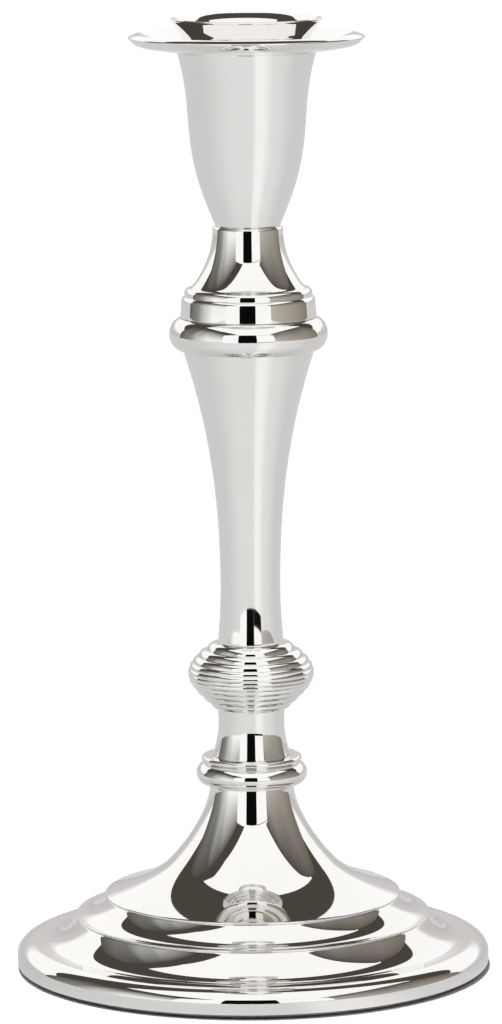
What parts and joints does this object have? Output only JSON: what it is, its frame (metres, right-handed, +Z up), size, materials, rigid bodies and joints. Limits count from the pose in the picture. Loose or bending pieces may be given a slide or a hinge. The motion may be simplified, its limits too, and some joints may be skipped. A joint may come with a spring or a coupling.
{
  "type": "table candlestick",
  "caption": "Round silver-plated table candlestick: stepped base, trumpet foot, ribbed knop, tapered stem, bell-shaped socket, and a lift-out nozzle with drip pan and candle collar.",
  "frame": {"origin": "centre of the felt underside, on the table", "axes": "+Z up along the axis of the column; X and Y level, the object is round about Z"},
  "size_m": [0.114, 0.114, 0.2291],
  "materials": {
    "silver_plate": "mirror-polished silver plate on turned and spun brass",
    "steel": "zinc-plated steel, satin",
    "cast_iron": "raw casting, matte",
    "felt": "dark green-black felt, matte"
  },
  "bodies": {
    "stand": {"felt_pad": "felt", "bottom_plate": "steel", "ballast_weight": "cast_iron", "base_shell": "silver_plate", "base_step": "silver_plate", "trumpet_foot": "silver_plate", "ring_collar": "silver_plate", "lower_spool": "silver_plate", "ribbed_knop": "silver_plate", "stem": "silver_plate", "shoulder_bead": "silver_plate", "shoulder_drum": "silver_plate", "shoulder_neck": "silver_plate", "socket_cup": "silver_plate", "tie_rod": "steel", "lower_washer": "steel", "lower_nut": "steel", "upper_washer": "steel", "upper_nut": "steel"},
    "nozzle": {"drip_pan": "silver_plate", "candle_collar": "silver_plate"}
  },
  "joints": [
    {"name": "nozzle_lift", "type": "slide", "parent": "stand", "child": "nozzle", "axis": [0, 0, 1], "range_m": [0, 0.03]}
  ]
}
